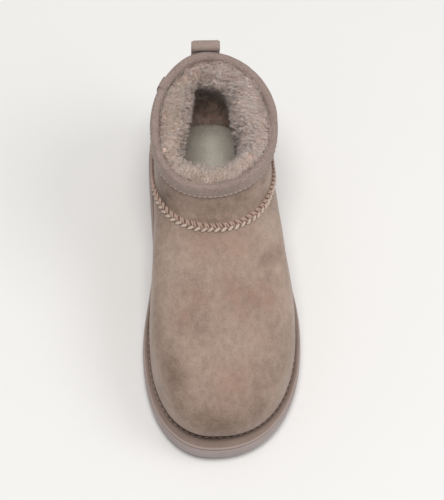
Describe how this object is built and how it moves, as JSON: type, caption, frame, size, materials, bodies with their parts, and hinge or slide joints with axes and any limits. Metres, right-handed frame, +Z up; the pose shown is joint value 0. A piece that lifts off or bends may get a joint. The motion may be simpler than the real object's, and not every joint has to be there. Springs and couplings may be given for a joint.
{
  "type": "sheepskin ankle boot",
  "caption": "Left ankle-high sheepskin boot: suede outside, wool inside, overlock seam over the instep, bound collar with a pull loop, light flat rubber sole.",
  "frame": {"origin": "on the ground under the middle of the sole's length and width", "axes": "+Z up, toe points to -Y, lateral (outer) side of the foot is +X"},
  "size_m": [0.1029, 0.252, 0.1403],
  "materials": {
    "sole_rubber": "matt moulded foam rubber",
    "welt_suede": "matt brushed suede",
    "wool_lining": "dense curly wool pile",
    "suede": "matt suede nap, mottled grey-brown",
    "thread": "twisted thread",
    "binding_suede": "matt suede tape"
  },
  "bodies": {
    "root": {"outsole": "sole_rubber", "welt": "welt_suede", "insole": "wool_lining", "vamp": "suede", "shaft": "suede", "overlock_seam": "thread", "binding": "binding_suede", "pull_loop": "binding_suede"}
  },
  "joints": []
}
